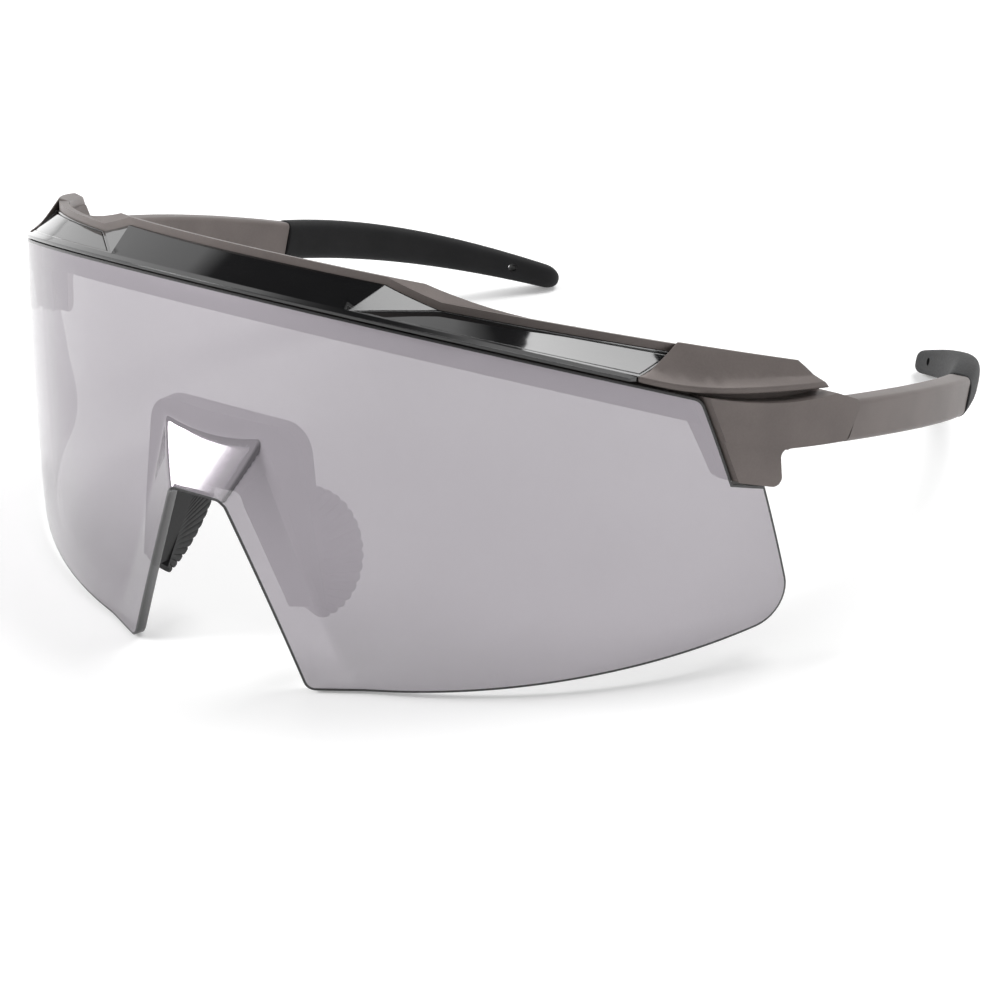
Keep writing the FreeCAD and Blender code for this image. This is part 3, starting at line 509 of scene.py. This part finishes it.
def shield_loop(sizes):
    """Half outline of the shield, as places of (arc length, height), from its top to its notch."""
    lean_cos = math.cos(sizes.lean)
    lean_sin = math.sin(sizes.lean)
    line_rounds = 8
    foot_rounds = 12
    arc_steps = 10
    long_steps = 90

    def side_place(back, level):
        return Vector((back * lean_cos + level * lean_sin,
                       sizes.height - back * lean_sin + level * lean_cos))

    def place_at(depth, height):
        reach = (sizes.plan_radius - depth) / shield_radius(sizes, height)
        return Vector((sizes.plan_radius * math.acos(min(1, reach)), height))

    def on_line(turn, first, last):
        slope = (last.y - first.y) / (last.x - first.x)
        height = first.y
        for _ in range(line_rounds):
            depth = sizes.plan_radius - shield_radius(sizes, height) * math.cos(turn)
            height = first.y + slope * (depth - first.x)
        return Vector((sizes.plan_radius * turn, height))

    def bottom_level(back):
        return -sizes.bottom_drop + sizes.bottom_rise * (back - sizes.bottom_back)

    def notch_half(height):
        return sizes.notch_half + sizes.notch_flare * (sizes.notch_top - height)

    def notch_place(across, height):
        return Vector((sizes.plan_radius * math.asin(across / shield_radius(sizes, height)), height))

    top_line = [side_place(0, 0), side_place(sizes.shoulder_back, -sizes.top_fall * sizes.shoulder_back)]
    bottom_line = [side_place(back, bottom_level(back)) for back in (0, sizes.corner_back)]
    corners = [top_line[0], top_line[1], side_place(sizes.step_back, -sizes.step_drop),
               side_place(sizes.side_back, -sizes.side_drop), bottom_line[1], bottom_line[0]]
    edge = eased_path(corners, [sizes.shoulder_round, 0, 0, sizes.corner_round], arc_steps)[1:-1]
    side = [place_at(*place) for place in dense(edge, sizes.fine_grain)]
    top_end = side[0].x / sizes.plan_radius
    top = [on_line(top_end * step / long_steps, *top_line) for step in range(long_steps)]

    foot_height = 0
    for _ in range(foot_rounds):
        turn = math.asin(notch_half(foot_height) / shield_radius(sizes, foot_height))
        foot_height = on_line(turn, *bottom_line).y
    notch_end = turn + 3 * sizes.foot_round / sizes.plan_radius
    notch = eased_path([on_line(notch_end, *bottom_line), notch_place(notch_half(foot_height), foot_height),
                        notch_place(sizes.notch_half, sizes.notch_top), Vector((0, sizes.notch_top))],
                       [sizes.foot_round, sizes.notch_round], arc_steps)
    side_end = side[-1].x / sizes.plan_radius
    bottom = [on_line(side_end + (notch_end - side_end) * step / long_steps, *bottom_line)
              for step in range(1, long_steps)]
    return top + side + bottom + dense(notch, sizes.fine_grain)


def drawn_in(loop, distance):
    """The same closed loop, drawn in by a distance."""
    sharpest = 0.6
    drawn = []
    for before, place, after in zip(loop[-1:] + loop[:-1], loop, loop[1:] + loop[:1]):
        first = (place - before).normalized()
        last = (after - place).normalized()
        sides = [Vector((along.y, -along.x)) for along in (first, last)]
        middle = (sides[0] + sides[1]).normalized()
        drawn.append(place + middle * (distance / max(middle.dot(sides[0]), sharpest)))
    return drawn


def within(places, loop):
    """Which of some places lie inside a closed loop."""
    inside = np.zeros(len(places), bool)
    for first, last in zip(loop, np.roll(loop, -1, axis=0)):
        crosses = (first[1] > places[:, 1]) != (last[1] > places[:, 1])
        rise = last[1] - first[1]
        reach = first[0] + (last[0] - first[0]) * (places[:, 1] - first[1]) / (rise if rise else 1)
        inside ^= crosses & (places[:, 0] < reach)
    return inside


def shield_places(sizes, loop):
    """Outline and inner mesh points of the shield, finer round the ridge."""
    beside_ridge = 12 * mm
    above_ridge = 3 * mm
    edge_gap = 0.6
    outline = np.array([tuple(place) for place in loop])
    low = outline.min(0)
    high = outline.max(0)
    inner = []
    for spacing, fine in ((sizes.grain, False), (sizes.fine_grain, True)):
        across, up = np.meshgrid(np.arange(low[0], high[0], spacing), np.arange(low[1], high[1], spacing))
        places = np.column_stack([across.ravel(), up.ravel()])
        ridge_half = (sizes.notch_half + beside_ridge
                      + sizes.notch_flare * np.abs(sizes.ridge_top - places[:, 1]))
        on_ridge = (np.abs(places[:, 0]) < ridge_half) & (places[:, 1] < sizes.ridge_top + above_ridge)
        places = places[on_ridge == fine]
        places = places[within(places, outline)]
        apart = np.array([np.hypot(*(outline - place).T).min() for place in places])
        inner.append(places[apart > edge_gap * spacing])
    return outline, np.vstack(inner)


def shield_mesh(sizes):
    """Points of the shield in the lens frame, and the faces of its front, its back and its edge."""
    inside_only = 1
    tolerance = 1e-7
    half = shield_loop(sizes)
    loop = half[:-1] + [Vector((-place.x, place.y)) for place in half[:0:-1]]
    outline, inner = shield_places(sizes, drawn_in(loop, sizes.rim))
    places = [Vector(place) for place in np.vstack([outline, inner])]
    rim = list(range(len(outline)))
    flat, _, triangles, *_ = delaunay_2d_cdt(places, [], [rim], inside_only, tolerance)
    if len(flat) != len(places):
        raise RuntimeError("the shield's outline crosses itself")
    layers = [(flat, 0), (loop, sizes.rim_fall), (loop, sizes.wall - sizes.rim), (flat, sizes.wall)]
    points = []
    starts = []
    for layer, inset in layers:
        starts.append(len(points))
        points.extend(shield_point(sizes, place.x / sizes.plan_radius, place.y, inset) for place in layer)
    front = [tuple(face) for face in triangles]
    first, second, third = (points[corner] for corner in front[0])
    if (second - first).cross(third - first).y > 0:
        front = [face[::-1] for face in front]
    back = [tuple(corner + starts[-1] for corner in face[::-1]) for face in front]
    edge = []
    for near, far in zip(starts, starts[1:]):
        edge.extend((near + a, near + b, far + b, far + a) for a, b in zip(rim, rim[1:] + rim[:1]))
    return points, [front, back, edge]


class SUNGLASSES_OT_lens(bpy.types.Operator):
    """Make the one-piece mirrored shield with its nose ridge"""
    bl_idname = "sunglasses.lens"
    bl_label = "Lens"

    def execute(self, context):
        sizes = context.scene.lens_sizes
        finishes = context.scene.finishes
        points, sides = shield_mesh(sizes)
        to_part = brow_to_part @ lens_to_brow(sizes)
        lens = new_piece("shield_lens", [to_part @ point for point in points], sum(sides, []),
                         [mirror_material(finishes), smoke_material(finishes), cut_edge_material(finishes)])
        finish = [index for index, faces in enumerate(sides) for _ in faces]
        lens.data.polygons.foreach_set("material_index", finish)
        lens.data.set_sharp_from_angle(angle=math.radians(50))
        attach(lens, "front")
        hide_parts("lens")
        return {"FINISHED"}


# Rubber parts

def nose_wing(sizes, side):
    """Vertices and faces of a ribbed wing, in the lens frame."""
    columns = 8 * sizes.scallops
    rows = 18
    crowding = 1.4          # brings the rows closer together towards the edge
    round_from = 0.72       # share of the rows at which the wing starts to thin out
    groove_power = 3
    groove_rise = 4
    top = Vector(sizes.top)
    foot = Vector(sizes.foot)
    along = (foot - top).normalized()
    reach = (foot - top).length
    out = Vector((math.sin(sizes.splay), math.cos(sizes.splay), 0))
    out = (out - along * out.dot(along)).normalized()
    thick = along.cross(out)
    radius = (reach ** 2 / 4 + sizes.width ** 2) / (2 * sizes.width)
    middle = Vector((reach / 2, sizes.width - radius))
    sweep = math.atan2(reach / 2, radius - sizes.width)
    points = []
    for sign in (1, -1):
        for column in range(columns + 1):
            part = column / columns
            turn = (2 * part - 1) * sweep
            wave = abs(math.sin(math.pi * sizes.scallops * part))
            edge = middle + Vector((math.sin(turn), math.cos(turn))) * (radius + sizes.scallop * wave)
            root = Vector((sizes.wall + (reach - 2 * sizes.wall) * part, -sizes.root))
            for row in range(rows + 1):
                run = row / rows
                place = root.lerp(edge, 1 - (1 - run) ** crowding)
                swell = math.sqrt(max(0, 1 - max(0, (run - round_from) / (1 - round_from)) ** 2))
                groove = sizes.rib_depth * (1 - wave) ** groove_power * min(1, groove_rise * run) * swell
                half = max(sizes.wall / 2 * swell - groove, 0)
                point = top + along * place.x + out * place.y + thick * (sign * half)
                points.append(Vector((side * point.x, point.y, point.z)))
    faces = []
    stride = rows + 1
    sheet = (columns + 1) * stride
    for column in range(columns):
        for row in range(rows):
            a = column * stride + row
            quad = (a, a + 1, a + stride + 1, a + stride)
            faces.append(quad)
            faces.append(tuple(corner + sheet for corner in quad[::-1]))
        a = column * stride
        faces.append((a, a + stride, a + stride + sheet, a + sheet))
        a += rows
        faces.append((a, a + sheet, a + stride + sheet, a + stride))
    for row in range(rows):
        a = row
        faces.append((a, a + sheet, a + sheet + 1, a + 1))
        a = columns * stride + row
        faces.append((a, a + 1, a + sheet + 1, a + sheet))
    return points, [face[::-side] for face in faces]


class SUNGLASSES_OT_nose_wings(bpy.types.Operator):
    """Make the two ribbed rubber nose wings"""
    bl_idname = "sunglasses.nose_wings"
    bl_label = "Nose wings"

    def execute(self, context):
        sizes = context.scene.pad_sizes
        to_part = brow_to_part @ lens_to_brow(context.scene.lens_sizes)
        rubber = rubber_material(context.scene.finishes)
        for name, side in (("left", 1), ("right", -1)):
            points, faces = nose_wing(sizes, side)
            wing = new_piece("nose_wing_" + name, [to_part @ point for point in points], faces, [rubber])
            wing.data.set_sharp_from_angle(angle=math.radians(60))
            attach(wing, "front")
            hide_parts("nose_pad_" + name)
        return {"FINISHED"}


def temple_place(sizes, back, inset, level):
    """Point of the left temple at a distance to the back, an inset from its outer face and a level."""
    middle = Vector((sizes.start_half - sizes.plan_radius * math.cos(sizes.start_lean),
                     sizes.start_back + sizes.plan_radius * math.sin(sizes.start_lean), 0))
    turn = math.asin((back - middle.y) / sizes.plan_radius)
    radius = sizes.plan_radius - inset
    return middle + Vector((radius * math.cos(turn), radius * math.sin(turn), level))


def sleeve_station(sizes, back):
    """Level of the middle and height of the sleeve at a distance to the back."""
    part = (back - sizes.arm_back) / (sizes.end_back - sizes.arm_back)
    top = sizes.start_level - sizes.fall * part + 4 * sizes.bow * part * (1 - part)
    tall = sizes.height - (sizes.height - sizes.end_height) * part ** 2
    return top - tall / 2, tall


def sleeve_body(sizes, side):
    """Vertices and faces of a rubber sleeve, in the brow frame."""
    around = 32
    start_steps = 5
    straight_steps = 60
    nose_steps = 12
    squareness = 3.2
    start_round = 0.4 * mm
    start_end = sizes.joint_back + start_round
    straight_end = sizes.end_back - sizes.nose
    stations = []       # distance to the back, and the trim and the scale of the section there
    for step in range(start_steps + 1):
        turn = math.pi / 2 * step / start_steps
        stations.append((start_end - start_round * math.cos(turn), start_round * (1 - math.sin(turn)), 1))
    for step in range(1, straight_steps + 1):
        stations.append((start_end + (straight_end - start_end) * step / straight_steps, 0, 1))
    for step in range(1, nose_steps + 1):
        turn = math.pi / 2 * step / nose_steps
        stations.append((straight_end + sizes.nose * math.sin(turn), 0, math.cos(turn)))
    points = []
    for back, trim, scale in stations:
        level, tall = sleeve_station(sizes, back)
        half_wall = (sizes.wall / 2 - trim) * scale
        half_tall = (tall / 2 - trim) * scale
        for step in range(around):
            turn = 2 * math.pi * step / around
            wide = math.copysign(abs(math.cos(turn)) ** (2 / squareness), math.cos(turn)) * half_wall
            up = math.copysign(abs(math.sin(turn)) ** (2 / squareness), math.sin(turn)) * half_tall
            point = temple_place(sizes, back, sizes.seat - wide, level + up)
            points.append(Vector((side * point.x, point.y, point.z)))
    last_ring = len(points) - around
    faces = [tuple(range(around)), tuple(reversed(range(last_ring, len(points))))]
    for ring in range(0, last_ring, around):
        for step in range(around):
            a = ring + step
            b = ring + (step + 1) % around
            faces.append((b, a, a + around, b + around))
    return points, [face[::side] for face in faces]


def cord_rod(sizes, side):
    """Vertices and faces of the rod that leaves the cord hole, in the brow frame."""
    back = sizes.end_back - sizes.hole_inset
    level, _ = sleeve_station(sizes, back)
    around = 24
    points = []
    for inset in (sizes.seat - sizes.wall, sizes.seat + sizes.wall):
        for step in range(around):
            turn = 2 * math.pi * step / around
            point = temple_place(sizes, back + sizes.hole_radius * math.cos(turn), inset,
                                 level + sizes.hole_radius * math.sin(turn))
            points.append(Vector((side * point.x, point.y, point.z)))
    faces = [tuple(range(around)), tuple(reversed(range(around, 2 * around)))]
    for step in range(around):
        ahead = (step + 1) % around
        faces.append((ahead, step, step + around, ahead + around))
    return points, [face[::side] for face in faces]


def bore(piece, rod):
    """Takes a rod out of a piece."""
    cut = piece.modifiers.new("bore", "BOOLEAN")
    cut.object = rod
    bpy.context.view_layer.update()
    cut_piece = piece.evaluated_get(bpy.context.evaluated_depsgraph_get())
    piece.data = bpy.data.meshes.new_from_object(cut_piece)
    piece.modifiers.remove(cut)
    bpy.data.objects.remove(rod)


class SUNGLASSES_OT_sleeves(bpy.types.Operator):
    """Make the two rubber sleeves on the temples"""
    bl_idname = "sunglasses.sleeves"
    bl_label = "Temple sleeves"

    def execute(self, context):
        sizes = context.scene.sleeve_sizes
        rubber = rubber_material(context.scene.finishes)
        for name, side in (("left", 1), ("right", -1)):
            points, faces = sleeve_body(sizes, side)
            sleeve = new_piece("temple_sleeve_" + name, [brow_to_part @ point for point in points], faces,
                               [rubber])
            points, faces = cord_rod(sizes, side)
            bore(sleeve, new_piece("cord_rod", [brow_to_part @ point for point in points], faces, [rubber]))
            sleeve.data.set_sharp_from_angle(angle=math.radians(40))
            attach(sleeve, "temple_" + name)
            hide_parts("temple_tip_" + name)
        return {"FINISHED"}


class SUNGLASSES_OT_mouldings(bpy.types.Operator):
    """Finish the rigid mouldings: painted frame, gloss trim, nose carrier and screws"""
    bl_idname = "sunglasses.mouldings"
    bl_label = "Mouldings"

    def execute(self, context):
        cover_round = 0.25 * mm
        arm_round = 0.2 * mm
        finishes = context.scene.finishes
        paint = paint_material(finishes)
        gloss = gloss_material(finishes)
        steel = steel_material(finishes)
        dress("frame_front", paint)
        dress("brow_trim", gloss)
        dress("nose_bridge", carrier_material(finishes))
        for side in ("_left", "_right"):
            dress("end_cover" + side, paint)
            dress("temple_arm" + side, paint)
            dress("brow_panel" + side, gloss)
            dress("hinge_screw" + side, steel)
            soften("end_cover" + side, cover_round)
            soften("temple_arm" + side, arm_round)
        return {"FINISHED"}


# Studio

def studio_world():
    """White room, dark overhead and dimmer at the front right, as the glossy parts reflect it."""
    world = bpy.data.worlds.new("studio")
    world.use_nodes = True
    tree = world.node_tree
    tree.nodes.clear()
    front_right = (0.64, -0.77, 0)
    facing = add_node(tree, "ShaderNodeTexCoord", {}, {}).outputs["Generated"]
    parts = add_node(tree, "ShaderNodeSeparateXYZ", {}, {"Vector": facing})
    towards = add_node(tree, "ShaderNodeVectorMath", {"operation": "DOT_PRODUCT", 1: front_right},
                       {0: facing})
    ceiling = add_node(tree, "ShaderNodeMapRange",
                       {"From Min": 0.66, "From Max": 0.72, "To Min": 1.0, "To Max": 0.06},
                       {"Value": parts.outputs["Z"]})
    front = add_node(tree, "ShaderNodeMapRange",
                     {"From Min": 0.45, "From Max": 0.85, "To Min": 1.0, "To Max": 0.4},
                     {"Value": towards.outputs["Value"]})
    level = add_node(tree, "ShaderNodeMath", {"operation": "MULTIPLY"},
                     {0: ceiling.outputs["Result"], 1: front.outputs["Result"]})
    sky = add_node(tree, "ShaderNodeBackground", {"Color": (1, 1, 1, 1)},
                   {"Strength": level.outputs["Value"]})
    add_node(tree, "ShaderNodeOutputWorld", {}, {"Surface": sky.outputs["Background"]})
    return world


def add_softbox(name, place, aim, width, tall, power):
    """Adds a white area lamp that faces a point."""
    lamp = bpy.data.lights.new(name, "AREA")
    lamp.shape = "RECTANGLE"
    lamp.size = width
    lamp.size_y = tall
    lamp.energy = power
    holder = bpy.data.objects.new(name, lamp)
    holder.location = place
    holder.rotation_euler = (Vector(aim) - Vector(place)).to_track_quat("-Z", "Y").to_euler()
    bpy.context.scene.collection.objects.link(holder)


def camera_place(sizes):
    """Place of the camera, fitted to the lens's own frame."""
    yaw = math.radians(34.008)
    pitch = math.radians(24.119)
    roll = math.radians(-0.459)
    photo_lean = math.radians(3.6)
    stand = Vector((296.10, -376.26, 211.11)) * mm
    back = Vector((math.sin(yaw) * math.cos(pitch), -math.cos(yaw) * math.cos(pitch), math.sin(pitch)))
    level = Vector((math.cos(yaw), math.sin(yaw), 0))
    upright = back.cross(level)
    right = level * math.cos(roll) + upright * math.sin(roll)
    up = upright * math.cos(roll) - level * math.sin(roll)
    aim = Matrix((right, up, back)).transposed().to_4x4()
    return (brow_to_part @ lens_to_brow(sizes) @ Matrix.Translation(stand)
            @ Matrix.Rotation(photo_lean, 4, "X") @ aim)


def add_camera(scene):
    """Adds the camera at the photo's viewing angle."""
    sensor_width = 36
    focal_pixels = 3534.5
    picture_pixels = 1000
    camera = bpy.data.objects.new("camera", bpy.data.cameras.new("camera"))
    camera.data.sensor_width = sensor_width
    camera.data.lens = focal_pixels / picture_pixels * sensor_width
    camera.data.clip_start = 10 * mm
    camera.matrix_world = camera_place(scene.lens_sizes)
    scene.collection.objects.link(camera)
    scene.camera = camera


class SUNGLASSES_OT_studio(bpy.types.Operator):
    """Set the pale floor, the soft light and the camera"""
    bl_idname = "sunglasses.studio"
    bl_label = "Studio"

    def execute(self, context):
        scene = context.scene
        reach = 2.0     # far enough to fill low views
        corners = [(-reach, -reach, 0), (reach, -reach, 0), (reach, reach, 0), (-reach, reach, 0)]
        floor = new_piece("paper_floor", corners, [(0, 1, 2, 3)], [paper_material(scene.finishes)])
        scene.world = studio_world()
        add_softbox("overhead_softbox", place=(0.217, 0.529, 1.167), aim=(0, 0, 0.03),
                    width=0.72, tall=0.72, power=11)
        add_softbox("front_softbox", place=(-0.843, -0.652, 0.62), aim=(-0.143, 0.128, 0.03),
                    width=0.6, tall=0.55, power=11)
        add_camera(scene)
        scene.view_settings.view_transform = "Standard"
        return {"FINISHED"}


class SUNGLASSES_PT_panel(bpy.types.Panel):
    """Lists the steps that dress the sunglasses"""
    bl_idname = "SUNGLASSES_PT_panel"
    bl_label = "Sunglasses"
    bl_space_type = "VIEW_3D"
    bl_region_type = "UI"
    bl_category = "Sunglasses"

    def draw(self, context):
        for step in steps:
            self.layout.operator(step.bl_idname)


groups = {"lens_sizes": LensSizes, "pad_sizes": PadSizes, "sleeve_sizes": SleeveSizes, "finishes": Finishes}
steps = [SUNGLASSES_OT_mouldings, SUNGLASSES_OT_lens, SUNGLASSES_OT_nose_wings, SUNGLASSES_OT_sleeves,
         SUNGLASSES_OT_studio]


def register():
    for kind in [*groups.values(), *steps, SUNGLASSES_PT_panel]:
        bpy.utils.register_class(kind)
    for name, kind in groups.items():
        setattr(bpy.types.Scene, name, PointerProperty(type=kind))


def unregister():
    for name in groups:
        delattr(bpy.types.Scene, name)
    for kind in [SUNGLASSES_PT_panel, *steps[::-1], *groups.values()]:
        bpy.utils.unregister_class(kind)


def main():
    register()
    bpy.ops.sunglasses.mouldings()
    bpy.ops.sunglasses.lens()
    bpy.ops.sunglasses.nose_wings()
    bpy.ops.sunglasses.sleeves()
    bpy.ops.sunglasses.studio()
    bpy.context.view_layer.update()


if __name__ == "__main__":
    main()
